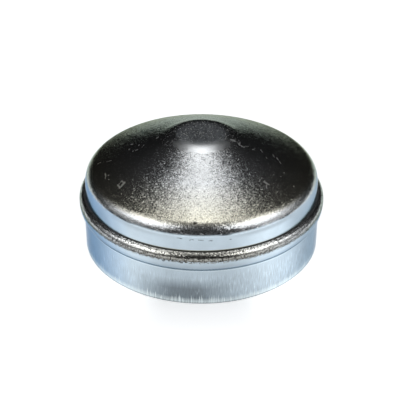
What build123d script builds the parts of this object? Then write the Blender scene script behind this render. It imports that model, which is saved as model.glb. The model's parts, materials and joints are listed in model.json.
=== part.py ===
from build123d import *
import os
from math import radians, tan

# Hub grease cap: a steel cup pressed from one disc of strip, driven into a wheel hub by its skirt.
# Millimetres and degrees. The open rim stands on the plane z = 0, and the axis of the cup is Z.

# Strip
sheet = 1.0                 # one thickness from the rim to the nose

# Skirt, the part that is driven into the hub
skirt_radius = 31.0         # outside, a press fit in the bore
skirt_depth = 10.0          # from the rim to the root of the bead
rim_break = 0.2             # chamfer that takes the burr off both edges of the rim

# Stop bead, which is folded outwards and bears on the face of the hub
bead_projection = 1.13      # beyond the skirt
bead_crest = 2.8            # from its lower root to where it stands out furthest
bead_height = 5.4           # from its lower root to the groove above it
bead_lower_root = 0.6       # inside bend between the skirt and the bead
bead_upper_root = 0.35      # tight bend at the bottom of the groove

# Wall band above the bead
wall_step = 0.6             # how far the wall stands inside the skirt
wall_height = 5.65          # from the groove to the sharp corner of the shoulder
shoulder_bend = 4.5

# Conical dome
cone_angle = 23.0           # rise of the cone from the level

# Bell nose in the middle of the dome
nose_foot_radius = 12.0     # sharp corner between the cone and the flank of the nose
nose_top_radius = 7.0       # sharp corner between the flank and the flat top
nose_height = 2.55          # from the one corner to the other
nose_foot_bend = 20.0       # slow, so that the nose flows out into the cone
nose_top_bend = 8.0

# Places that follow from these sizes
wall_radius = skirt_radius - wall_step
bead_radius = skirt_radius + bead_projection
crest_height = skirt_depth + bead_crest
groove_height = skirt_depth + bead_height
shoulder_height = groove_height + wall_height
nose_foot_height = shoulder_height + (wall_radius - nose_foot_radius) * tan(radians(cone_angle))
cap_height = nose_foot_height + nose_height

# The outside of the cup is one line from the rim to the axis. The bead is two arcs that meet upright at
# its crest, a slow one below and a tighter one on top. The sheet lies on the inner side of the line at
# an even thickness, so the bead is hollow and the nose is dished, as pressing leaves them.
with BuildPart() as grease_cap:
    with BuildSketch(Plane.XZ):
        with BuildLine() as section:
            skirt = Line((skirt_radius, 0), (skirt_radius, skirt_depth))
            crest = (bead_radius, crest_height)
            TangentArc(crest, skirt @ 1, tangent=(0, -1))
            bead_top = TangentArc(crest, (wall_radius, groove_height), tangent=(0, 1))
            FilletPolyline(
                bead_top @ 1,
                (wall_radius, shoulder_height),
                (nose_foot_radius, nose_foot_height),
                (nose_top_radius, cap_height),
                (0, cap_height),
                radius=[shoulder_bend, nose_foot_bend, nose_top_bend],
            )
            lower_root = section.vertices().sort_by_distance(skirt @ 1)[0]
            fillet(lower_root, bead_lower_root)
            upper_root = section.vertices().sort_by_distance(bead_top @ 1)[0]
            fillet(upper_root, bead_upper_root)
            offset(amount=sheet, side=Side.LEFT)
        make_face()
    revolve(axis=Axis.Z)
    rim_edges = grease_cap.edges().group_by(Axis.Z)[0]
    chamfer(rim_edges, rim_break)

grease_cap.part.label = "grease_cap"
os.makedirs("parts", exist_ok=True)
export_step(grease_cap.part, "parts/grease_cap.step")
print(f"cap {2 * bead_radius:.1f} mm across the bead, {cap_height:.2f} mm high")
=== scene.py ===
import json
from functools import partial
from math import acos, atan2, ceil, cos, hypot, pi, radians, sin, sqrt, tan
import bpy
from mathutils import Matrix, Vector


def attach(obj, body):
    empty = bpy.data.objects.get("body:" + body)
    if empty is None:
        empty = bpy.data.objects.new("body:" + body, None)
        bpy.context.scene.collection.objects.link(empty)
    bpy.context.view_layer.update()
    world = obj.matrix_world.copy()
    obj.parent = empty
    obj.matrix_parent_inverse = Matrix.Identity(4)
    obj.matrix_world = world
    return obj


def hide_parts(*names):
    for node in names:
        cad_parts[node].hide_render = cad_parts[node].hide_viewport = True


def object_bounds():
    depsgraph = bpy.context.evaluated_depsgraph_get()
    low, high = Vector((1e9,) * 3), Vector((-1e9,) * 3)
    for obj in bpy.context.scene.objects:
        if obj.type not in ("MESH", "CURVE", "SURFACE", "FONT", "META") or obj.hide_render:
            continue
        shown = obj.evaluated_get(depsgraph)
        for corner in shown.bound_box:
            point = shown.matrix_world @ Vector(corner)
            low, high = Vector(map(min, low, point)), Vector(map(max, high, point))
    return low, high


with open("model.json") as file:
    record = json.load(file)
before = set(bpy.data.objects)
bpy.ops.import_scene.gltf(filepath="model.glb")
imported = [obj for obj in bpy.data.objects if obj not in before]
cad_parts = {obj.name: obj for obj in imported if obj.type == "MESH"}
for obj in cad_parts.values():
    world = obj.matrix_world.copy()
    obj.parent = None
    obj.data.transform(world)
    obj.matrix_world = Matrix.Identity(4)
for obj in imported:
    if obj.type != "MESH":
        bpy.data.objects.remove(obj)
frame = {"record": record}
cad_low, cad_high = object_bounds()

from types import SimpleNamespace

import bpy
import numpy as np
from bpy.props import FloatProperty, FloatVectorProperty, PointerProperty
from bpy.types import Operator, Panel, PropertyGroup
from mathutils import Vector

bl_info = {
    "name": "Hub grease cap",
    "version": (1, 0, 0),
    "blender": (4, 5, 0),
    "location": "View3D > Sidebar > Grease cap",
    "description": "Presses a zinc-plated hub grease cap and sets up the studio that it stands in",
    "category": "Object",
}

MM = 0.001
CAP_NODE = "grease_cap"
hub_skirt = next(mount for mount in frame["record"]["mounts"] if mount["name"] == "hub_skirt")

# Rows of vertices on the cap
SECTORS = 640                   # round the axis
OUTSIDE_TURN = radians(6)       # largest turn between two rows on a bend, outside
OUTSIDE_STEP = 1.1 * MM         # largest step between two rows on a straight stretch, outside
INSIDE_TURN = radians(10)
INSIDE_STEP = 3.5 * MM
RIM_TURN = radians(25)
SAME_PLACE = 1e-7               # rows closer than this are one row

# Relief that pressing leaves in the sheet
RELIEF_SEED = 7
SLOW_WAVES = np.arange(5, 15)           # counts of the waves round the wall and the skirt
SLOW_SWING = 4                          # about the full height of their sum
SLOW_FADE = 3 * MM                      # height over which they die out above the groove
FLUTES = np.arange(60, 160, 3)          # counts of the marks round the skirt
FLUTE_REACH = 0.9                       # share of the skirt's depth that they reach up

# Places on the stage
FLOOR_RADIUS = 1.2
FLOOR_GAP = 0.02 * MM                   # below the rim, so that the floor and the cap never touch
LAMP_AIM = Vector((0, 0, 20 * MM))
CAMERA_PIVOT = 14 * MM                  # height of the point that the camera's distance is measured from
CAMERA_AIM = Vector((-0.377 * MM, -1.389 * MM, 11.73 * MM))

# Softboxes: azimuth from straight behind the cap and elevation in degrees, distance, width and depth in
# metres, radiance and hue
SOFTBOXES = (
    ("overhead_core", 0, 74.5, 0.62, 0.24, 0.35, 0.90, "#FFFFFF"),
    ("overhead_wide", 0, 80.0, 0.61, 0.36, 0.15, 0.15, "#FFFFFF"),
    ("overhead_strip", 0, 87.0, 0.60, 0.66, 0.12, 0.70, "#FFFFFF"),
    ("overhead_spread", 180, 85.0, 0.60, 0.84, 0.30, 0.20, "#FFFFFF"),
    ("side_left", -118, 43.0, 0.60, 0.48, 0.37, 1.35, "#FFFFFF"),
    ("side_left_core", -120, 49.0, 0.60, 0.20, 0.20, 0.70, "#FFFFFF"),
    ("side_right", 118, 43.0, 0.60, 0.48, 0.37, 1.50, "#FFFFFF"),
    ("side_right_core", 120, 48.0, 0.60, 0.20, 0.20, 0.70, "#FFFFFF"),
    ("low_left", -106, 16.0, 0.60, 0.42, 0.14, 0.25, "#FFFFFF"),
    ("low_right", 108, 17.0, 0.60, 0.44, 0.16, 0.45, "#FFFFFF"),
    ("rim_left", -84, 27.0, 0.60, 0.20, 0.20, 0.22, "#FFFFFF"),
    ("rim_right", 84, 27.0, 0.60, 0.20, 0.20, 0.32, "#FFFFFF"),
    ("front_left", -140, 2.2, 0.50, 0.45, 0.083, 0.80, "#FFFFFF"),
    ("front_middle", 180, 2.2, 0.50, 0.30, 0.083, 0.90, "#FFFFFF"),
    ("front_right", 130, 2.2, 0.50, 0.45, 0.083, 1.10, "#FFFFFF"),
    ("back_glow", 0, 36.0, 0.60, 0.22, 0.16, 0.15, "#F4F8FF"),
)

# Marks on the dome, each a line from (azimuth, radius) to (azimuth, radius) with a width, in degrees and
# millimetres. Azimuth 0 faces the camera and grows to the right.
SCUFFS = (
    (-57.7, 24.7, -54.6, 24.9, 0.26), (-54.6, 24.9, -55.8, 23.2, 0.28), (-55.8, 23.2, -58.2, 23.4, 0.22),
    (-58.2, 23.4, -57.7, 24.7, 0.14),
    (-74.2, 25.4, -69.2, 25.9, 0.20), (-70.4, 24.9, -70.2, 24.9, 0.22), (-66.9, 25.4, -66.6, 25.4, 0.24),
    (-87.7, 27.0, -88.1, 26.0, 0.12), (-86.1, 24.6, -85.3, 23.3, 0.12),
    (-91.5, 18.7, -91.2, 18.7, 0.30), (-84.9, 17.0, -85.0, 16.5, 0.22), (-92.5, 16.2, -92.2, 16.2, 0.26),
    (-89.4, 14.9, -89.0, 14.9, 0.24), (-99.1, 18.7, -98.6, 18.1, 0.22), (-85.7, 17.7, -85.4, 17.7, 0.20),
    (-86.5, 15.3, -86.2, 15.3, 0.18), (-95.1, 11.1, -93.6, 11.6, 0.24),
    (67.1, 8.0, 70.5, 8.9, 0.40),
    (70.4, 9.7, 68.5, 10.4, 0.20), (68.5, 10.4, 70.0, 11.5, 0.20), (75.9, 10.1, 68.5, 10.4, 0.14),
    (67.2, 11.0, 76.6, 12.3, 0.12),
    (73.4, 13.4, 79.4, 14.0, 0.12), (81.3, 15.4, 78.2, 15.9, 0.14), (73.3, 17.1, 72.3, 17.6, 0.12),
    (82.7, 18.5, 79.3, 19.0, 0.14), (80.6, 19.5, 78.2, 20.0, 0.14), (77.5, 20.3, 75.6, 20.9, 0.14),
    (47.7, 20.9, 48.8, 22.2, 0.26), (46.9, 22.0, 45.1, 22.8, 0.20), (48.9, 19.9, 44.4, 20.3, 0.12),
    (67.2, 22.6, 67.6, 22.6, 0.26), (61.9, 22.5, 62.2, 22.5, 0.18), (61.0, 26.3, 61.3, 26.3, 0.18),
)
SCUFF_STRENGTH = 0.38
# Dirt on the front of the wall, the bead and the shoulder, each a level dash from one azimuth to another at
# a height, with a width and a strength
DIRT = (
    (-10.8, -8.8, 18.78, 0.20, 0.4), (-5.4, -3.6, 18.48, 0.18, 0.4), (-1.2, 1.0, 18.54, 0.22, 0.4),
    (3.4, 4.9, 18.38, 0.18, 0.4), (12.6, 13.8, 18.32, 0.16, 0.4), (-8.8, -8.2, 12.99, 0.30, 0.5),
    (-16.9, -16.2, 12.89, 0.26, 0.5), (-3.2, -2.8, 21.9, 0.65, 0.9),
)
STROKE_CORE = 0.4               # share of a stroke's width that has its full strength
STROKE_WANDER = 0.6             # how far a stroke leaves its line, in millimetres
WANDER_SIZE = 1 / 1.4           # size of a turn in the line, in millimetres

# Sizes of the patterns in the plating, in millimetres
RAGGED = 0.7                    # how far single facets reach over the edge of the grain
RAGGED_BLUR = 0.15
STREAK_LENGTH = 14.0            # draw marks down the skirt
FLECK_LENGTH = 2.2              # short flecks in them
CLOUD = 5.0                     # slow clouds of lighter and darker zinc
MARK_DEPTH = 0.02               # grooves of the draw marks, where the mesh is too coarse for them
TICK_BLUR = (0.3, -0.4)         # above and below the end of a tick of frost
LIP = (0.1, 0.13)               # film along the lip: middle of the band above the groove, and half its width
GROOVE_SHADE_LINE = 0.06               # middle of the painted shade in the groove, below the groove line

# Strengths in the plating
TICK_FROST = 0.9
LIP_FILM = 1.6                  # times the film on the bead
# Strength of the painted shade in the groove
GROOVE_PAINTED_SHADE = 0.92
NOSE_PAINTED_HIGHLIGHT = 0.5             # share of brightness painted onto the front edge of the nose as a highlight
SKIRT_PAINTED_SHADE = 0.55             # share of brightness that the painted shade patch on the front of the skirt takes away
NOSE_CALM = 0.25                # share of the facets' lean that is left on the rubbed edge

# Bright zinc plate is smooth, a satin one less so. Frost is rougher, and scuffs, painted glints, dirt and the
# painted groove shade are matte.
BURNISH_ROUGH = 0.16
SATIN_ROUGH = 0.25
NOSE_ROUGHER = 0.06
FROST_ROUGH = 0.4
MATTE_ROUGH = 0.55
MATTE_METAL = 0.2               # metal that still shows through scuffs, painted glints, dirt and painted groove shade
BARE_GLOSS = 0.5                # specular level of clean plating, which dirt and the painted groove shade take away

# Fades in the plating. As a measure goes from the first number to the second, the fade goes from the third
# to the fourth. Measures: x to the right, y away from the camera and height above the rim, in millimetres,
# and the others that plating_measures names.
FADES = {
    # Satin grain on the top of the bead, from a ragged foot to the groove
    "bead_foot": ("ragged", 13.3, 13.7, 0.0, 1.0),
    "bead_end": ("height", 15.5, 15.3, 0.0, 1.0),
    # Draw marks, from below the bead down, and most of them on the right
    "mark_top": ("height", 10.0, 7.0, 0.0, 1.0),
    "mark_side": ("x", -22.0, 8.0, 0.5, 1.0),
    # Frost: height of the ticks on the drawn edge, their foot, white flecks, and painted light on the lower
    # root of the bead
    "tick": ("streak", 0.48, 0.72, 0.3, 2.8),
    "rim_frost": ("height", 1.8, 0.8, 0.0, 0.45),
    "white_fleck": ("fleck", 0.66, 0.76, 0.0, 0.7),
    "root_frost": ("off_root", 0.7, 0.2, 0.0, 0.4),
    # Yellow on the foot of the cone, a painted blue shade on the flanks, and the stain on the front
    "yellow_top": ("height", 26.5, 22.5, 0.0, 1.0),
    "yellow_foot": ("height", 21.0, 21.9, 0.0, 1.0),
    "blue_left": ("x", -17.0, -30.0, 0.0, 1.0),
    "blue_right": ("x", 16.0, 29.0, 0.0, 0.15),
    "blue_ahead": ("y", 22.0, -6.0, 0.0, 1.0),
    "stain_front": ("y", -22.0, -31.0, 0.0, 0.33),
    # Light and dark: facets, pits on the bead with a painted shade that is darkest at its foot and lightest
    # at its top, marks on the skirt, clouds
    "speckle": ("tone", 0.0, 1.0, 0.93, 1.06),
    "pits": ("pit", 0.55, 0.85, 1.12, 0.15),
    "worn": ("height", 13.3, 14.8, 0.1, 1.4),
    "drawn": ("fleck", 0.3, 0.7, 0.8, 1.14),
    "cloudy": ("cloud", 0.3, 0.7, 0.93, 1.04),
    # Front edge of the nose, rubbed smoother and given a painted highlight, a painted shade patch on the
    # front of the skirt, and a painted dark line at the rim
    "nose_foot": ("height", 30.1, 30.8, 0.0, 1.0),
    "nose_top": ("height", 31.41, 31.3, 0.0, 1.0),
    "nose_front": ("y", -2.5, -6.0, 0.0, 1.0),
    "dull_middle": ("off_dull", 13.0, 3.0, 0.0, 1.0),
    "dull_top": ("height", 7.4, 4.4, 0.0, 1.0),
    "dull_front": ("y", -20.0, -27.0, 0.0, 1.0),
    "bare_rim": ("height", 0.5, 0.2, 1.0, 0.5),
    # Light specks painted as glints, most of them on the nose, and half the width of the painted shade in the
    # groove
    "speck": ("pit", 0.94, 0.975, 0.0, 1.0),
    "speck_height": ("height", 29.5, 31.4, 0.07, 0.6),
    "grime_reach": ("aside", 18.0, 27.0, 0.14, 0.25),
    # Lean of the facets: a few lean much further, and bends and the far half are calmer
    "far_lean": ("chance", 0.7, 1.0, 1.0, 2.2),
    "bend_calm": ("height", 21.0, 23.0, 0.65, 1.0),
    "far_calm": ("y", 0.0, 12.0, 1.0, 0.8),
}


def to_linear(hex_colour):
    """Turns an sRGB hex colour such as "#A0B0C0" into linear red, green, blue and an alpha of 1."""
    srgb = np.array([int(hex_colour[k:k + 2], 16) / 255 for k in (1, 3, 5)])
    linear = np.where(srgb <= 0.04045, srgb / 12.92, ((srgb + 0.055) / 1.055) ** 2.4)
    return (*linear.tolist(), 1.0)


def length(name, description, millimetres):
    """A property for a length, given in millimetres and kept in metres."""
    return FloatProperty(name=name, description=description, default=millimetres * MM, unit="LENGTH")


def colour(name, description, hex_colour):
    """A property for a colour, given as sRGB hex and kept as linear light."""
    return FloatVectorProperty(
        name=name, description=description, default=to_linear(hex_colour), subtype="COLOR", size=4,
        min=0.0, max=1.0,
    )


class GreaseCapSizes(PropertyGroup):
    """Sizes of the pressed cup, measured on its outside."""

    sheet: length("Strip", "Thickness of the steel strip", 1.0)
    skirt_radius: length("Skirt radius", "Press fit in the hub's bore", hub_skirt["dims"]["r_mm"])
    skirt_depth: length("Skirt depth", "From the rim to the lower root of the bead", 10.0)
    rim_break: length("Rim break", "Rounding on both edges of the rim", 0.2)
    bead_radius: length("Bead radius", "Where the stop bead stands out furthest", cad_high.x / MM)
    bead_crest: length("Bead crest", "From the bead's lower root to its crest", 2.8)
    bead_height: length("Bead height", "From the bead's lower root to the groove", 5.4)
    bead_slope: FloatProperty(
        name="Bead slope", description="Fall of the bead's top from the groove outwards",
        default=radians(28.0), subtype="ANGLE", unit="ROTATION",
    )
    bead_bend: length("Bead bend", "Bend between the bead's top and its crest", 1.9)
    bead_lower_root: length("Lower root", "Bend between the skirt and the bead", 0.6)
    bead_upper_root: length("Upper root", "Bend at the bottom of the groove", 0.35)
    wall_step: length("Wall step", "How far the wall stands inside the skirt", 0.6)
    wall_height: length("Wall height", "From the groove to the corner of the shoulder", 5.65)
    shoulder_bend: length("Shoulder bend", "Bend between the wall and the cone", 4.5)
    cone_angle: FloatProperty(
        name="Cone angle", description="Rise of the cone from the level", default=radians(23.0),
        subtype="ANGLE", unit="ROTATION",
    )
    nose_foot_radius: length("Nose foot", "Corner between the cone and the nose", 12.0)
    nose_top_radius: length("Nose top", "Corner between the nose's flank and its flat top", 7.0)
    nose_foot_bend: length("Foot bend", "Bend at the foot of the nose", 20.0)
    nose_top_bend: length("Top bend", "Bend at the top of the nose", 8.0)
    cap_height: length("Height", "From the rim to the nose", cad_high.z / MM)
    flute_depth: length("Draw marks", "Depth of the marks that drawing leaves down the skirt", 0.012)
    sheet_wave: length("Sheet wave", "Depth of the slow waves round the wall and the skirt", 0.012)


class GreaseCapFinish(PropertyGroup):
    """Colours and grains of the zinc plating."""

    burnished: colour("Burnished zinc", "Wall, bead and skirt, which the die rubbed bright", "#AEBBC4")
    # Painted reflection: darker blue for the flanks, standing in for the blue shade that they reflect
    painted_blue_flank: colour("Blue bloom", "Blue passivation on the flanks of the wall and the skirt", "#7F9FC0")
    satin: colour("Satin zinc", "Dome and top of the bead, which the die left grainy", "#CFD2D4")
    yellowed: colour("Yellowed zinc", "Passivation on the foot of the cone", "#D2D0C2")
    burnished_slant: colour("Burnished slant", "Tint of the burnished zinc at a slant", "#BAC6D0")
    satin_slant: colour("Satin slant", "Tint at a slant, where the satin grain shades itself", "#B3C0B1")
    trimmed: colour("Trimmed edge", "Frosted zinc on the drawn edge of the skirt", "#E6F0F2")
    # Dark colour of the dirt dashes and of the painted shade in the groove
    dirt_and_groove_shade: colour("Grime", "Dirt in the groove and in pits", "#080807")
    # Also the colour of the light specks painted as glints
    scuffs_and_painted_glints: colour("Scuff", "Zinc scraped open by handling", "#C8C9C2")
    stain: colour("Stain", "Yellowish film on the front of the bead", "#8C8046")
    grain: length("Grain", "Size of a facet of the satin grain", 0.2)
    grain_tilt: FloatProperty(
        name="Grain tilt", description="How far the facets of the grain lean", default=0.18, min=0.0,
    )
    draw_mark: length("Draw mark", "Width of a mark down the skirt", 0.17)
    satin_edge: length("Satin edge", "Height at which the dome's grain begins", 19.95)


class GreaseCapStudio(PropertyGroup):
    """Camera, floor and lamps."""

    camera_distance: length("Camera distance", "From the middle of the cap", 280.0)
    camera_elevation: FloatProperty(
        name="Camera elevation", description="Above the level", default=radians(31.4),
        subtype="ANGLE", unit="ROTATION",
    )
    camera_lens: FloatProperty(
        name="Lens", description="Focal length in millimetres on a 36 mm sensor", default=95.33,
        unit="CAMERA",
    )
    floor: colour("Floor", "Matte white card", "#E8E9EA")
    table: colour("Table", "Dark grey table behind the card", "#404040")
    floor_lift: FloatProperty(
        name="Floor lift", description="Light added to the card where it is seen, to bring it to white",
        default=0.88, min=0.0,
    )
    # Painted shadow: share of the lift that is left in the painted shadow close in front of the cap
    lift_left_in_painted_shadow: FloatProperty(
        name="Floor lift in front", description="Share of the lift that is left close in front of the cap",
        default=0.6, min=0.0, max=1.0,
    )
    # Painted pools of light: share of the lift in the pools beside the cap
    floor_painted_pools: FloatProperty(
        name="Floor pools", description="Share of the lift in the pools of light beside the cap",
        default=1.85, min=0.0,
    )
    dark_room: colour("Room", "Dim room round the studio", "#060606")


def straight(start, end, step):
    """Rows of (radius, height, normal radius, normal height) on a line, with the normal on its left."""
    start, end = np.array(start), np.array(end)
    way = end - start
    rows = max(2, ceil(hypot(*way) / step) + 1)
    share = np.linspace(0, 1, rows)[:, None]
    normal = np.array((-way[1], way[0])) / hypot(*way)
    return np.hstack([start + share * way, np.tile(normal, (rows, 1))])


def bend(centre, radius, first, last, turn):
    """The same rows on an arc from one angle to another. A clockwise arc bulges, so its normals point away
    from the centre, and one that runs the other way is hollow, so they point at it."""
    angle = np.linspace(first, last, max(3, ceil(abs(last - first) / turn) + 1))
    radial = np.stack([np.cos(angle), np.sin(angle)], -1)
    return np.hstack([np.array(centre) + radius * radial, radial if last < first else -radial])


def rounded_corner(before, corner, after, radius, turn):
    """Rows on the arc that touches both sides of a corner. Its centre lies on the line that halves the
    corner, radius / sin(half the angle) from it."""
    before, corner, after = (np.array(point) for point in (before, corner, after))
    back = (before - corner) / hypot(*(before - corner))
    on = (after - corner) / hypot(*(after - corner))
    half = acos(np.dot(back, on)) / 2
    middle = (back + on) / hypot(*(back + on))
    centre = corner + middle * radius / sin(half)
    reach = radius / tan(half)
    first, last = (atan2(*(corner + side * reach - centre)[::-1]) for side in (back, on))
    last += 2 * pi * round((first - last) / (2 * pi))
    return bend(centre, radius, first, last, turn)


def outside_line(sizes, turn, step):
    """The outside of the cup from the middle of the nose to the rim, as rows of (radius, height, normal).
    Straight stretches and tangent arcs: flat top, nose, cone, shoulder, wall, groove, bead and skirt."""
    wall = sizes.skirt_radius - sizes.wall_step
    groove = sizes.skirt_depth + sizes.bead_height
    crest = sizes.skirt_depth + sizes.bead_crest
    shoulder = groove + sizes.wall_height
    nose_foot = shoulder + (wall - sizes.nose_foot_radius) * tan(sizes.cone_angle)
    bead_edge = groove - (sizes.bead_radius - wall) * tan(sizes.bead_slope)
    corners = [
        (0.0, sizes.cap_height),
        (sizes.nose_top_radius, sizes.cap_height),
        (sizes.nose_foot_radius, nose_foot),
        (wall, shoulder),
        (wall, groove),
        (sizes.bead_radius, bead_edge),
        (sizes.bead_radius, crest),
    ]
    radii = [
        sizes.nose_top_bend,
        sizes.nose_foot_bend,
        sizes.shoulder_bend,
        sizes.bead_upper_root,
        sizes.bead_bend,
    ]
    bends = [rounded_corner(*corners[k:k + 3], radius, turn) for k, radius in enumerate(radii)]
    pieces = [straight(corners[0], bends[0][0, :2], step)]
    for one, other in zip(bends, bends[1:]):
        pieces += [one, straight(one[-1, :2], other[0, :2], step)]

    # Below its crest the bead is an arc that starts upright, so its radius is half of (chord squared /
    # distance inwards). The root is an arc that touches the bead from outside and the skirt.
    inwards = sizes.bead_radius - sizes.skirt_radius
    radius = (sizes.bead_crest ** 2 + inwards ** 2) / (2 * inwards)
    centre = np.array((sizes.bead_radius - radius, crest))
    root_reach = radius + sizes.bead_lower_root
    angle = acos((sizes.skirt_radius + sizes.bead_lower_root - centre[0]) / root_reach)
    root = centre + root_reach * np.array((cos(angle), -sin(angle)))
    pieces += [
        bends[-1],
        straight(bends[-1][-1, :2], corners[-1], step),
        bend(centre, radius, 0, -angle, turn),
        bend(root, sizes.bead_lower_root, pi - angle, pi, turn),
        straight((sizes.skirt_radius, root[1]), (sizes.skirt_radius, sizes.rim_break), step),
    ]
    return np.vstack([pieces[0], *(piece[1:] for piece in pieces[1:])])


def cap_section(sizes):
    """The closed section from the middle of the nose down the outside, round the rim and up the inside,
    and a mark for each row: 0 outside, 1 inside. The inside lies one strip behind the outside."""
    outside = outside_line(sizes, OUTSIDE_TURN, OUTSIDE_STEP)
    behind = outside_line(sizes, INSIDE_TURN, INSIDE_STEP)[::-1]
    inside = np.hstack([behind[:, :2] - sizes.sheet * behind[:, 2:], -behind[:, 2:]])
    inside[-1, 0] = 0.0
    edge = sizes.rim_break
    outer, inner = sizes.skirt_radius - edge, sizes.skirt_radius - sizes.sheet + edge
    rim = np.vstack([
        bend((outer, edge), edge, 0, -pi / 2, RIM_TURN),
        straight((outer, 0.0), (inner, 0.0), edge),
        bend((inner, edge), edge, -pi / 2, -pi, RIM_TURN),
    ])
    rows = np.vstack([outside, rim[1:-1], inside])
    keep = np.append(True, np.hypot(*np.diff(rows[:, :2], axis=0).T) > SAME_PLACE)
    mark = np.repeat([0.0, 1.0], [len(outside) + len(rim) - 2, len(inside)])
    return rows[keep], mark[keep]


def round_waves(azimuth, counts, draws):
    """A wave round the axis: the sum of one cosine for each whole count, each with a seeded start."""
    starts = draws.uniform(0, 2 * pi, len(counts))
    return np.cos(np.outer(azimuth, counts) + starts).sum(1) / sqrt(len(counts) / 2)


def pressing_relief(azimuth, height, sizes):
    """How far the outside lies behind its true line at each (row, sector). Slow waves go round the wall and
    the skirt, and flutes run down the skirt, deepest at the rim. Both only take away, so the cap stays
    inside its sizes."""
    draws = np.random.default_rng(RELIEF_SEED)
    slow = round_waves(azimuth, SLOW_WAVES, draws)
    flutes = round_waves(azimuth, FLUTES, draws)
    below_shoulder = np.clip((sizes.skirt_depth + sizes.bead_height + SLOW_FADE - height) / SLOW_FADE, 0, 1)
    down_skirt = np.clip(1 - height / (FLUTE_REACH * sizes.skirt_depth), 0, 1)
    slow = sizes.sheet_wave * (slow.max() - slow) / SLOW_SWING
    flutes = sizes.flute_depth * np.clip(flutes, 0, None)
    return np.outer(below_shoulder, slow) + np.outer(down_skirt, flutes)


def turned_shell(name, sizes):
    """The cup as one closed mesh: the section carried round the axis. At (row, azimuth) the place is
    (radius sin azimuth, -radius cos azimuth, height), less the relief along the normal. The two rows on the
    axis are single vertices."""
    rows, mark = cap_section(sizes)
    azimuth = np.linspace(0, 2 * pi, SECTORS, endpoint=False)
    relief = pressing_relief(azimuth, rows[:, 1], sizes) * (1 - mark)[:, None]
    radius = rows[:, :1] - relief * rows[:, 2:3]
    height = rows[:, 1:2] - relief * np.clip(rows[:, 3:], 0, None)
    grid = np.stack([radius * np.sin(azimuth), -radius * np.cos(azimuth), height], -1)
    places = np.vstack([grid[:1, 0], grid[1:-1].reshape(-1, 3), grid[-1:, 0]])

    ring = 1 + np.arange((len(rows) - 2) * SECTORS).reshape(-1, SECTORS)
    beside = np.roll(ring, -1, axis=1)
    quads = np.stack([ring[:-1], ring[1:], beside[1:], beside[:-1]], -1).reshape(-1, 4)
    top_fan = np.stack([np.zeros(SECTORS, int), ring[0], beside[0]], -1)
    low_fan = np.stack([np.full(SECTORS, len(places) - 1), beside[-1], ring[-1]], -1)

    mesh = bpy.data.meshes.new(name)
    mesh.from_pydata(places.tolist(), [], quads.tolist() + top_fan.tolist() + low_fan.tolist())
    mesh.polygons.foreach_set("use_smooth", np.ones(len(mesh.polygons), bool))
    inside = mesh.attributes.new("inside", "FLOAT", "POINT")
    inside.data.foreach_set("value", np.concatenate([mark[:1], np.repeat(mark[1:-1], SECTORS), mark[-1:]]))
    mesh.update()
    return mesh


def add_node(tree, kind, inputs=(), **settings):
    """Adds a node with its settings. Each input, by its name or by its number where names repeat, is linked
    if it is given a socket, or a node for that node's first output in use, and set to the value otherwise."""
    node = tree.nodes.new(kind)
    for name, value in settings.items():
        setattr(node, name, value)
    # Reversed, so that the first input of a name is the one that counts
    in_use = {socket.name: socket for socket in reversed(node.inputs) if socket.enabled}
    for key, value in dict(inputs).items():
        socket = node.inputs[key] if isinstance(key, int) else in_use[key]
        if isinstance(value, bpy.types.Node):
            value = next(output for output in value.outputs if output.enabled)
        if isinstance(value, bpy.types.NodeSocket):
            tree.links.new(value, socket)
        else:
            socket.default_value = value
    return node


def new_material(name):
    """An empty node material, and add_node bound to its tree."""
    material = bpy.data.materials.new(name)
    material.use_nodes = True
    material.node_tree.nodes.clear()
    return material, partial(add_node, material.node_tree)


def stroke_group():
    """Mask of a narrow mark: Strength on the line from Start to End, falling to 0 one Width away from it."""
    tree = bpy.data.node_groups.new("stroke", "ShaderNodeTree")
    for name in ("Place", "Start", "End"):
        tree.interface.new_socket(name, in_out="INPUT", socket_type="NodeSocketVector")
    for name in ("Width", "Strength"):
        tree.interface.new_socket(name, in_out="INPUT", socket_type="NodeSocketFloat")
    tree.interface.new_socket("Mask", in_out="OUTPUT", socket_type="NodeSocketFloat")
    add = partial(add_node, tree)
    place, start, end, width, strength = list(add("NodeGroupInput").outputs)[:5]
    along = add("ShaderNodeVectorMath", {0: end, 1: start}, operation="SUBTRACT")
    away = add("ShaderNodeVectorMath", {0: place, 1: start}, operation="SUBTRACT")
    onto = add("ShaderNodeVectorMath", {0: away, 1: along}, operation="DOT_PRODUCT")
    square = add("ShaderNodeVectorMath", {0: along, 1: along}, operation="DOT_PRODUCT")
    share = add("ShaderNodeMath", {0: onto, 1: square}, operation="DIVIDE", use_clamp=True)
    nearest = add("ShaderNodeVectorMath", {0: along, "Scale": share}, operation="SCALE")
    gap = add("ShaderNodeVectorMath", {0: away, 1: nearest}, operation="DISTANCE")
    core = add("ShaderNodeMath", {0: width, 1: STROKE_CORE}, operation="MULTIPLY")
    mask = add("ShaderNodeMapRange", {
        "Value": gap, "From Min": width, "From Max": core, "To Max": strength,
    })
    add("NodeGroupOutput", {"Mask": mask})
    return tree


def scuff_strokes(sizes):
    """Start, end, width and strength of each mark on the dome, in millimetres. An end is at (radius sin
    azimuth, -radius cos azimuth, height of the dome at that radius)."""
    line = outside_line(sizes, OUTSIDE_TURN, OUTSIDE_STEP) / MM
    marks = np.array(SCUFFS)
    turn, radius = np.radians(marks[:, 0:4:2]), marks[:, 1:4:2]
    height = np.interp(radius, line[:, 0], line[:, 1])
    ends = np.stack([radius * np.sin(turn), -radius * np.cos(turn), height], -1)
    strengths = [SCUFF_STRENGTH] * len(marks)
    return zip(ends[:, 0].tolist(), ends[:, 1].tolist(), marks[:, 4].tolist(), strengths)


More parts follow.
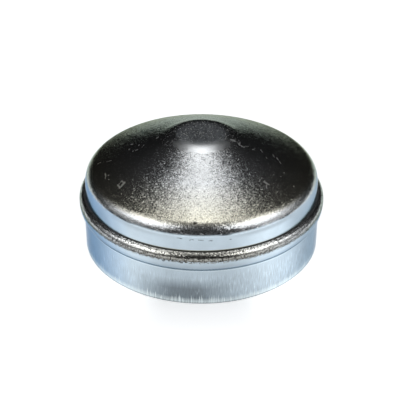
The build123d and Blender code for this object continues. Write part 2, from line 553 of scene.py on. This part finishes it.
def dirt_strokes(sizes):
    """The same for the dashes of dirt, which lie level at the outside's radius at their height."""
    line = outside_line(sizes, OUTSIDE_TURN, OUTSIDE_STEP)[::-1] / MM
    marks = np.array(DIRT)
    turn, height = np.radians(marks[:, :2]), marks[:, 2:3].repeat(2, axis=1)
    radius = np.interp(height, line[:, 1], line[:, 0])
    ends = np.stack([radius * np.sin(turn), -radius * np.cos(turn), height], -1)
    return zip(ends[:, 0].tolist(), ends[:, 1].tolist(), *marks[:, 3:].T.tolist())


def plating_measures(add, finish, sizes):
    """What the finishes of the plating go by: a point's place in millimetres, its distance from some lines,
    whether it is inside the cup, the picks from 0 to 1 of its facet, and noises from 0 to 1."""
    position = add("ShaderNodeTexCoord").outputs["Object"]
    place = add("ShaderNodeVectorMath", {0: position, "Scale": 1 / MM}, operation="SCALE")
    x, y, height = add("ShaderNodeSeparateXYZ", {0: place}).outputs
    inside = add("ShaderNodeAttribute", attribute_name="inside").outputs["Fac"]
    outside = add("ShaderNodeMath", {0: 1.0, 1: inside}, operation="SUBTRACT")
    at = SimpleNamespace(place=place, x=x, y=y, height=height, inside=inside, outside=outside)

    # Distances from the root of the bead, from the middle of the painted shade patch on the skirt and from
    # the middle of the cap
    for name, value, middle in (
        ("off_root", height, sizes.skirt_depth / MM + 0.2), ("off_dull", x, -4.0), ("aside", x, 0.0),
    ):
        off = add("ShaderNodeMath", {0: value, 1: middle}, operation="SUBTRACT")
        setattr(at, name, add("ShaderNodeMath", {0: off}, operation="ABSOLUTE"))

    # The facets are finer on the real strip than a pixel shows, so they are drawn about a pixel wide.
    at.facet = add("ShaderNodeTexVoronoi", {"Vector": place, "Scale": MM / finish.grain}).outputs["Color"]
    pick, at.tone, at.pit = add("ShaderNodeSeparateColor", {0: at.facet}).outputs
    at.ragged = add("ShaderNodeMath", {0: pick, 1: RAGGED, 2: height}, operation="MULTIPLY_ADD")
    # A second pick from the first one's later digits
    chance = add("ShaderNodeMath", {0: pick, 1: 7.0}, operation="MULTIPLY")
    at.chance = add("ShaderNodeMath", {0: chance}, operation="FRACT")

    # Marks from drawing run straight down the skirt. They too are drawn about a pixel wide.
    across = MM / finish.draw_mark
    for name, down in (("streak", STREAK_LENGTH), ("fleck", FLECK_LENGTH)):
        stretched = add("ShaderNodeMapping", {"Vector": place, "Scale": (across, across, 1 / down)})
        setattr(at, name, add("ShaderNodeTexNoise", {"Vector": stretched, "Scale": 1.0, "Detail": 2.0}))
    at.cloud = add("ShaderNodeTexNoise", {"Vector": place, "Scale": 1 / CLOUD, "Detail": 3.0})
    return at


def zinc_plated_steel(finish, sizes):
    """Bright zinc plating on pressed steel strip. The plating shows the strip's surface under it: a satin of
    small facets where the die didn't rub, and a bluish burnish with draw marks where it did."""
    material, add = new_material("zinc_plated_pressed_steel")
    at = plating_measures(add, finish, sizes)
    fade = SimpleNamespace(**{
        name: add("ShaderNodeMapRange", {
            "Value": getattr(at, measure), "From Min": first, "From Max": last, "To Min": low, "To Max": high,
        })
        for name, (measure, first, last, low, high) in FADES.items()
    })
    groove = (sizes.skirt_depth + sizes.bead_height) / MM

    # The grain begins in a ragged line below the shoulder. It covers the top of the bead and the inside too.
    edge = finish.satin_edge / MM + RAGGED / 2
    dome = add("ShaderNodeMapRange", {
        "Value": at.ragged, "From Min": edge - RAGGED_BLUR, "From Max": edge + RAGGED_BLUR,
    })
    bead_top = add("ShaderNodeMath", {0: fade.bead_foot, 1: fade.bead_end}, operation="MULTIPLY")
    satin = at.inside
    for part in (dome, bead_top):
        satin = add("ShaderNodeMath", {0: satin, 1: part}, operation="MAXIMUM")
    rubbed = add("ShaderNodeMath", {0: fade.mark_side, 1: fade.mark_top}, operation="MULTIPLY")

    # The drawn edge is frosted, with ticks that reach up the marks. So are some flecks, and the bead's lower
    # root gets a light frost as painted light that softens the dark line of its bend.
    over_tick = add("ShaderNodeMath", {0: at.height, 1: fade.tick}, operation="SUBTRACT")
    frost_and_root_light = add("ShaderNodeMapRange", {
        "Value": over_tick, "From Min": TICK_BLUR[0], "From Max": TICK_BLUR[1], "To Max": TICK_FROST,
    })
    flecks = add("ShaderNodeMath", {0: fade.white_fleck, 1: rubbed}, operation="MULTIPLY")
    for part in (fade.rim_frost, flecks, fade.root_frost):
        frost_and_root_light = add("ShaderNodeMath", {0: frost_and_root_light, 1: part}, operation="MAXIMUM")
    frost_and_root_light = add("ShaderNodeMath", {0: frost_and_root_light, 1: at.outside}, operation="MULTIPLY")

    # Satin zinc is yellowed at the foot of the cone. Burnished zinc is painted a darker blue on the flanks,
    # most on the left and towards the camera, as a painted reflection of blue shade.
    yellow = add("ShaderNodeMath", {0: fade.yellow_top, 1: fade.yellow_foot}, operation="MULTIPLY")
    grainy = add("ShaderNodeMix", {
        "Factor": yellow, "A": finish.satin, "B": finish.yellowed,
    }, data_type="RGBA")
    painted_blue_shade = add("ShaderNodeMath", {0: fade.blue_left, 1: fade.blue_right}, operation="MAXIMUM")
    painted_blue_shade = add("ShaderNodeMath", {0: painted_blue_shade, 1: fade.blue_ahead}, operation="MULTIPLY")
    smooth = add("ShaderNodeMix", {
        "Factor": painted_blue_shade, "A": finish.burnished, "B": finish.painted_blue_flank,
    }, data_type="RGBA")
    zinc = add("ShaderNodeMix", {"Factor": satin, "A": smooth, "B": grainy}, data_type="RGBA")

    # A yellowish film lies on the front of the bead, and thicker along the lip of the groove.
    lip = add("ShaderNodeMath", {0: at.height, 1: groove + LIP[0], 2: LIP[1]}, operation="COMPARE")
    lip = add("ShaderNodeMath", {0: lip, 1: LIP_FILM}, operation="MULTIPLY")
    film = add("ShaderNodeMath", {0: lip, 1: bead_top}, operation="MAXIMUM")
    film = add("ShaderNodeMath", {0: film, 1: fade.stain_front}, operation="MULTIPLY")
    zinc = add("ShaderNodeMix", {"Factor": film, "A": zinc, "B": finish.stain}, data_type="RGBA")

    # Facets, pits, draw marks and clouds make it lighter and darker. A painted highlight brightens the front
    # edge of the nose, a painted shade darkens the bead's satin towards its foot and lightens it towards its
    # top, and a painted shade darkens a patch on the front of the skirt.
    # Painted highlight: the front edge of the nose is brightened in colour. It is also rubbed smoother, with
    # calmer grain and a little more roughness.
    rubbed_nose_highlight = fade.nose_top
    for part in (fade.nose_foot, fade.nose_front, at.outside):
        rubbed_nose_highlight = add("ShaderNodeMath", {0: rubbed_nose_highlight, 1: part}, operation="MULTIPLY")
    # Painted shade: a patch low on the front of the skirt is darkened, standing in for the reflected shadow
    # on the floor in front of the cap
    painted_skirt_shade = fade.dull_middle
    for part in (fade.dull_top, fade.dull_front):
        painted_skirt_shade = add("ShaderNodeMath", {0: painted_skirt_shade, 1: part}, operation="MULTIPLY")
    shade = add("ShaderNodeMath", {0: rubbed_nose_highlight, 1: NOSE_PAINTED_HIGHLIGHT, 2: 1.0}, operation="MULTIPLY_ADD")
    shade = add("ShaderNodeMath", {0: painted_skirt_shade, 1: -SKIRT_PAINTED_SHADE, 2: shade}, operation="MULTIPLY_ADD")
    # Painted shade and highlight: the bead's pits are scaled by height, darkest at the bead's foot and
    # lighter than the satin towards its top
    pits = add("ShaderNodeMath", {0: fade.pits, 1: fade.worn}, operation="MULTIPLY")
    tones = [fade.cloudy]
    for cover, tone in ((satin, fade.speckle), (bead_top, pits), (rubbed, fade.drawn)):
        tones.append(add("ShaderNodeMix", {"Factor": cover, "A": 1.0, "B": tone}))
    for tone in tones:
        shade = add("ShaderNodeMath", {0: shade, 1: tone}, operation="MULTIPLY")
    zinc = add("ShaderNodeVectorMath", {0: zinc, "Scale": shade}, operation="SCALE")
    zinc = add("ShaderNodeMix", {"Factor": frost_and_root_light, "A": zinc, "B": finish.trimmed}, data_type="RGBA")
    # Painted shade: the lowest half millimetre of the rim is darkened into a dark line where the cap meets
    # the floor
    zinc = add("ShaderNodeVectorMath", {0: zinc, "Scale": fade.bare_rim}, operation="SCALE")

    # Handling marks and dirt are strokes whose lines wander a little.
    wander = add("ShaderNodeTexNoise", {"Vector": at.place, "Scale": 1 / WANDER_SIZE, "Detail": 1.0})
    wander = add("ShaderNodeVectorMath", {0: wander.outputs["Color"], 1: (0.5,) * 3}, operation="SUBTRACT")
    wander = add("ShaderNodeVectorMath", {
        0: wander, 1: (STROKE_WANDER,) * 3, 2: at.place,
    }, operation="MULTIPLY_ADD")
    stroke = stroke_group()
    marks = []
    for strokes in (scuff_strokes(sizes), dirt_strokes(sizes)):
        total = 0.0
        for start, end, width, strength in strokes:
            mask = add("ShaderNodeGroup", node_tree=stroke, inputs={
                "Place": wander, "Start": start, "End": end, "Width": width, "Strength": strength,
            })
            total = add("ShaderNodeMath", {0: total, 1: mask}, operation="MAXIMUM")
        marks.append(add("ShaderNodeMath", {0: total, 1: at.outside}, operation="MULTIPLY"))
    scuffs_and_painted_glints, dirt = marks

    # Light specks painted as glints count as scuffs, and a painted shade fills the groove, wider on the
    # flanks.
    # Painted glints: sparse light specks in the scuff colour, most of them on the nose
    speck = fade.speck
    for part in (fade.speck_height, dome):
        speck = add("ShaderNodeMath", {0: speck, 1: part}, operation="MULTIPLY")
    scuffs_and_painted_glints = add("ShaderNodeMath", {0: scuffs_and_painted_glints, 1: speck}, operation="MAXIMUM")
    # Painted shade: a near-black band along the groove, wider on the flanks, where the crease shows dark
    # reflections
    dirt_and_groove_shade = add("ShaderNodeMath", {
        0: at.height, 1: groove - GROOVE_SHADE_LINE, 2: fade.grime_reach,
    }, operation="COMPARE")
    for part in (at.outside, GROOVE_PAINTED_SHADE):
        dirt_and_groove_shade = add("ShaderNodeMath", {0: dirt_and_groove_shade, 1: part}, operation="MULTIPLY")
    dirt_and_groove_shade = add("ShaderNodeMath", {0: dirt, 1: dirt_and_groove_shade}, operation="MAXIMUM")
    zinc = add("ShaderNodeMix", {"Factor": scuffs_and_painted_glints, "A": zinc, "B": finish.scuffs_and_painted_glints}, data_type="RGBA")
    zinc = add("ShaderNodeMix", {"Factor": dirt_and_groove_shade, "A": zinc, "B": finish.dirt_and_groove_shade}, data_type="RGBA")

    # Scuffs, painted glints, dirt and the painted groove shade scatter light, and bare plating mirrors it,
    # the burnish more sharply than the satin.
    matte = add("ShaderNodeMath", {0: scuffs_and_painted_glints, 1: dirt_and_groove_shade}, operation="MAXIMUM")
    metallic = add("ShaderNodeMapRange", {"Value": matte, "To Min": 1.0, "To Max": MATTE_METAL})
    gloss = add("ShaderNodeMapRange", {"Value": dirt_and_groove_shade, "To Min": BARE_GLOSS, "To Max": 0.0})
    rough = add("ShaderNodeMapRange", {"Value": satin, "To Min": BURNISH_ROUGH, "To Max": SATIN_ROUGH})
    rough = add("ShaderNodeMath", {0: rubbed_nose_highlight, 1: NOSE_ROUGHER, 2: rough}, operation="MULTIPLY_ADD")
    for cover, level in ((frost_and_root_light, FROST_ROUGH), (matte, MATTE_ROUGH)):
        rough = add("ShaderNodeMix", {"Factor": cover, "A": rough, "B": level})
    slant = add("ShaderNodeMix", {
        "Factor": satin, "A": finish.burnished_slant, "B": finish.satin_slant,
    }, data_type="RGBA")

    # Each facet of the satin leans its own way, and the draw marks are shallow grooves.
    tilt = add("ShaderNodeMapRange", {
        "Value": rubbed_nose_highlight, "To Min": finish.grain_tilt, "To Max": NOSE_CALM * finish.grain_tilt,
    })
    for part in (satin, fade.bend_calm, fade.far_lean, fade.far_calm):
        tilt = add("ShaderNodeMath", {0: tilt, 1: part}, operation="MULTIPLY")
    lean = add("ShaderNodeVectorMath", {0: at.facet, 1: (0.5,) * 3}, operation="SUBTRACT")
    lean = add("ShaderNodeVectorMath", {0: lean, "Scale": tilt}, operation="SCALE")
    normal = add("ShaderNodeNewGeometry").outputs["Normal"]
    normal = add("ShaderNodeVectorMath", {0: normal, 1: lean}, operation="ADD")
    normal = add("ShaderNodeVectorMath", {0: normal}, operation="NORMALIZE")
    normal = add("ShaderNodeBump", {
        "Height": at.streak, "Strength": rubbed, "Distance": MARK_DEPTH * MM, "Normal": normal,
    })
    shader = add("ShaderNodeBsdfPrincipled", {
        "Base Color": zinc, "Metallic": metallic, "Roughness": rough, "Specular IOR Level": gloss,
        "Specular Tint": slant, "Normal": normal,
    })
    add("ShaderNodeOutputMaterial", {"Surface": shader})
    return material


def white_card(studio):
    """Matte white card, which scatters light evenly. Seen by the camera or in the metal it is lifted to
    white, less so in front of the cap, where a painted shadow takes from the lift, and more so far out. On
    each side in front it has a painted pool of light, and behind the cap it ends at a dark table."""
    material, add = new_material("matte_white_card")
    light = add("ShaderNodeLightPath").outputs
    place = add("ShaderNodeTexCoord").outputs["Object"]
    reach = add("ShaderNodeVectorMath", {0: place}, operation="LENGTH")
    x, y, _ = add("ShaderNodeSeparateXYZ", {0: place}).outputs
    aside = add("ShaderNodeMath", {0: x, 1: reach}, operation="DIVIDE")
    off_middle = add("ShaderNodeMath", {0: aside}, operation="ABSOLUTE")
    painted_pool_lift = studio.floor_painted_pools - 1

    # Soft fades from 0 at one place to a strength at another. Reach and y are in metres, and aside is the
    # sine of the azimuth.
    fade = {}
    for name, measure, first, last, most in (
        ("close", reach, 0.056, 0.034, 1.0),
        ("straight_ahead", off_middle, 0.75, 0.2, 1 - studio.lift_left_in_painted_shadow),
        ("right", aside, 0.3, 0.8, painted_pool_lift),
        ("left", aside, -0.3, -0.8, 0.5 * painted_pool_lift),
        ("beside", reach, 0.09, 0.05, 1.0),
        ("before", y, -0.010, -0.030, 1.0),
        ("card_end", y, 0.186, 0.23, 1.0),
    ):
        fade[name] = add("ShaderNodeMapRange", {
            "Value": measure, "From Min": first, "From Max": last, "To Max": most,
        }, interpolation_type="SMOOTHSTEP")

    # A painted shadow takes from the lift in front, and painted pools of light add to it at the sides.
    painted_floor_shadow = add("ShaderNodeMapRange", {"Value": y, "From Min": 0.03, "From Max": -0.02})
    for part in (fade["straight_ahead"], fade["close"]):
        painted_floor_shadow = add("ShaderNodeMath", {0: painted_floor_shadow, 1: part}, operation="MULTIPLY")
    painted_pools = add("ShaderNodeMath", {0: fade["left"], 1: fade["right"]}, operation="ADD")
    painted_pools = add("ShaderNodeMath", {0: painted_pools, 1: fade["beside"]}, operation="MULTIPLY")
    painted_pools = add("ShaderNodeMath", {0: painted_pools, 1: fade["before"], 2: 1.0}, operation="MULTIPLY_ADD")

    # The lift counts for what the camera, a mirror or glass sees, and not for the light on the cap.
    seen = light["Is Camera Ray"]
    for ray in ("Is Glossy Ray", "Is Transmission Ray"):
        seen = add("ShaderNodeMath", {0: seen, 1: light[ray]}, operation="MAXIMUM")
    far_out = add("ShaderNodeMapRange", {
        "Value": reach, "From Min": 0.15, "From Max": 0.45, "To Min": 1.0, "To Max": 1.5,
    })
    on_card = add("ShaderNodeMapRange", {
        "Value": fade["card_end"], "To Min": studio.floor_lift, "To Max": 0.0,
    })
    lift = add("ShaderNodeMath", {0: painted_pools, 1: painted_floor_shadow}, operation="SUBTRACT")
    for part in (on_card, far_out, seen):
        lift = add("ShaderNodeMath", {0: lift, 1: part}, operation="MULTIPLY")
    card = add("ShaderNodeMix", {
        "Factor": fade["card_end"], "A": studio.floor, "B": studio.table,
    }, data_type="RGBA")
    shader = add("ShaderNodeBsdfPrincipled", {
        "Base Color": card, "Roughness": 1.0, "Specular IOR Level": 0.0,
        "Emission Color": studio.floor, "Emission Strength": lift,
    })
    add("ShaderNodeOutputMaterial", {"Surface": shader})
    return material


def round_floor(name, radius, rings, sectors):
    """A level disc: at (ring, sector) the place is (radius cos angle, radius sin angle, 0)."""
    reach = np.linspace(0, radius, rings + 1)[1:, None]
    angle = np.linspace(0, 2 * pi, sectors, endpoint=False)
    grid = np.stack([reach * np.cos(angle), reach * np.sin(angle), np.zeros((rings, sectors))], -1)
    places = np.vstack([np.zeros((1, 3)), grid.reshape(-1, 3)])
    ring = 1 + np.arange(rings * sectors).reshape(rings, sectors)
    beside = np.roll(ring, -1, axis=1)
    quads = np.stack([ring[:-1], ring[1:], beside[1:], beside[:-1]], -1).reshape(-1, 4)
    fan = np.stack([np.zeros(sectors, int), ring[0], beside[0]], -1)
    mesh = bpy.data.meshes.new(name)
    mesh.from_pydata(places.tolist(), [], quads.tolist() + fan.tolist())
    mesh.update()
    return mesh


def add_softbox(name, azimuth, elevation, reach, width, depth, radiance, hue):
    """A soft lamp that faces the cap, at an azimuth from straight behind it and an elevation in degrees. Its
    power is its radiance times four times its area."""
    turn, rise = radians(azimuth), radians(elevation)
    away = Vector((cos(rise) * sin(turn), cos(rise) * cos(turn), sin(rise)))
    lamp = bpy.data.lights.new(name, "AREA")
    lamp.shape = "RECTANGLE"
    lamp.size, lamp.size_y = width, depth
    lamp.color = to_linear(hue)[:3]
    lamp.energy = radiance * 4 * width * depth
    box = bpy.data.objects.new(name, lamp)
    box.location = LAMP_AIM + reach * away
    box.rotation_euler = (-away).to_track_quat("-Z", "Y").to_euler()
    box.visible_camera = False
    bpy.context.scene.collection.objects.link(box)


class GREASE_CAP_OT_press(Operator):
    """Build the pressed cap with its zinc plating"""

    bl_idname = "grease_cap.press"
    bl_label = "Press the cap"

    def execute(self, context):
        scene = context.scene
        cap = bpy.data.objects.new("pressed_cap", turned_shell("pressed_cap", scene.grease_cap_sizes))
        cap.data.materials.append(zinc_plated_steel(scene.grease_cap_finish, scene.grease_cap_sizes))
        scene.collection.objects.link(cap)
        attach(cap, "root")
        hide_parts(CAP_NODE)
        return {"FINISHED"}


class GREASE_CAP_OT_stage(Operator):
    """Set up the floor, the lamps, the room and the camera"""

    bl_idname = "grease_cap.stage"
    bl_label = "Set the stage"

    def execute(self, context):
        scene = context.scene
        studio = scene.grease_cap_studio
        floor = bpy.data.objects.new("floor", round_floor("floor", FLOOR_RADIUS, rings=24, sectors=96))
        floor.data.materials.append(white_card(studio))
        floor.location.z = cad_low.z - FLOOR_GAP
        scene.collection.objects.link(floor)

        for softbox in SOFTBOXES:
            add_softbox(*softbox)

        room = bpy.data.worlds.new("dim_room")
        room.use_nodes = True
        room.node_tree.nodes.clear()
        dim = add_node(room.node_tree, "ShaderNodeBackground", {"Color": studio.dark_room, "Strength": 1.0})
        add_node(room.node_tree, "ShaderNodeOutputWorld", {"Surface": dim})
        scene.world = room
        scene.view_settings.view_transform = "Standard"

        camera = bpy.data.objects.new("camera", bpy.data.cameras.new("camera"))
        camera.data.lens = studio.camera_lens
        camera.data.clip_start = 0.01
        away, rise = studio.camera_distance, studio.camera_elevation
        camera.location = (0, -away * cos(rise), CAMERA_PIVOT + away * sin(rise))
        camera.rotation_euler = (CAMERA_AIM - camera.location).to_track_quat("-Z", "Y").to_euler()
        scene.collection.objects.link(camera)
        scene.camera = camera
        return {"FINISHED"}


class GREASE_CAP_PT_panel(Panel):
    """Sizes, finish and studio of the cap, with its operators"""

    bl_label = "Grease cap"
    bl_idname = "GREASE_CAP_PT_panel"
    bl_space_type = "VIEW_3D"
    bl_region_type = "UI"
    bl_category = "Grease cap"

    def draw(self, context):
        layout = self.layout
        for operator in (GREASE_CAP_OT_press, GREASE_CAP_OT_stage):
            layout.operator(operator.bl_idname)
        for group in ("grease_cap_sizes", "grease_cap_finish", "grease_cap_studio"):
            settings = getattr(context.scene, group)
            box = layout.box()
            for name in settings.__annotations__:
                box.prop(settings, name)


CLASSES = (
    GreaseCapSizes, GreaseCapFinish, GreaseCapStudio,
    GREASE_CAP_OT_press, GREASE_CAP_OT_stage, GREASE_CAP_PT_panel,
)


def register():
    for cls in CLASSES:
        bpy.utils.register_class(cls)
    bpy.types.Scene.grease_cap_sizes = PointerProperty(type=GreaseCapSizes)
    bpy.types.Scene.grease_cap_finish = PointerProperty(type=GreaseCapFinish)
    bpy.types.Scene.grease_cap_studio = PointerProperty(type=GreaseCapStudio)


def unregister():
    del bpy.types.Scene.grease_cap_sizes
    del bpy.types.Scene.grease_cap_finish
    del bpy.types.Scene.grease_cap_studio
    for cls in reversed(CLASSES):
        bpy.utils.unregister_class(cls)


def main():
    """Builds the cap and its stage."""
    register()
    bpy.ops.grease_cap.press()
    bpy.ops.grease_cap.stage()


if __name__ == "__main__":
    main()
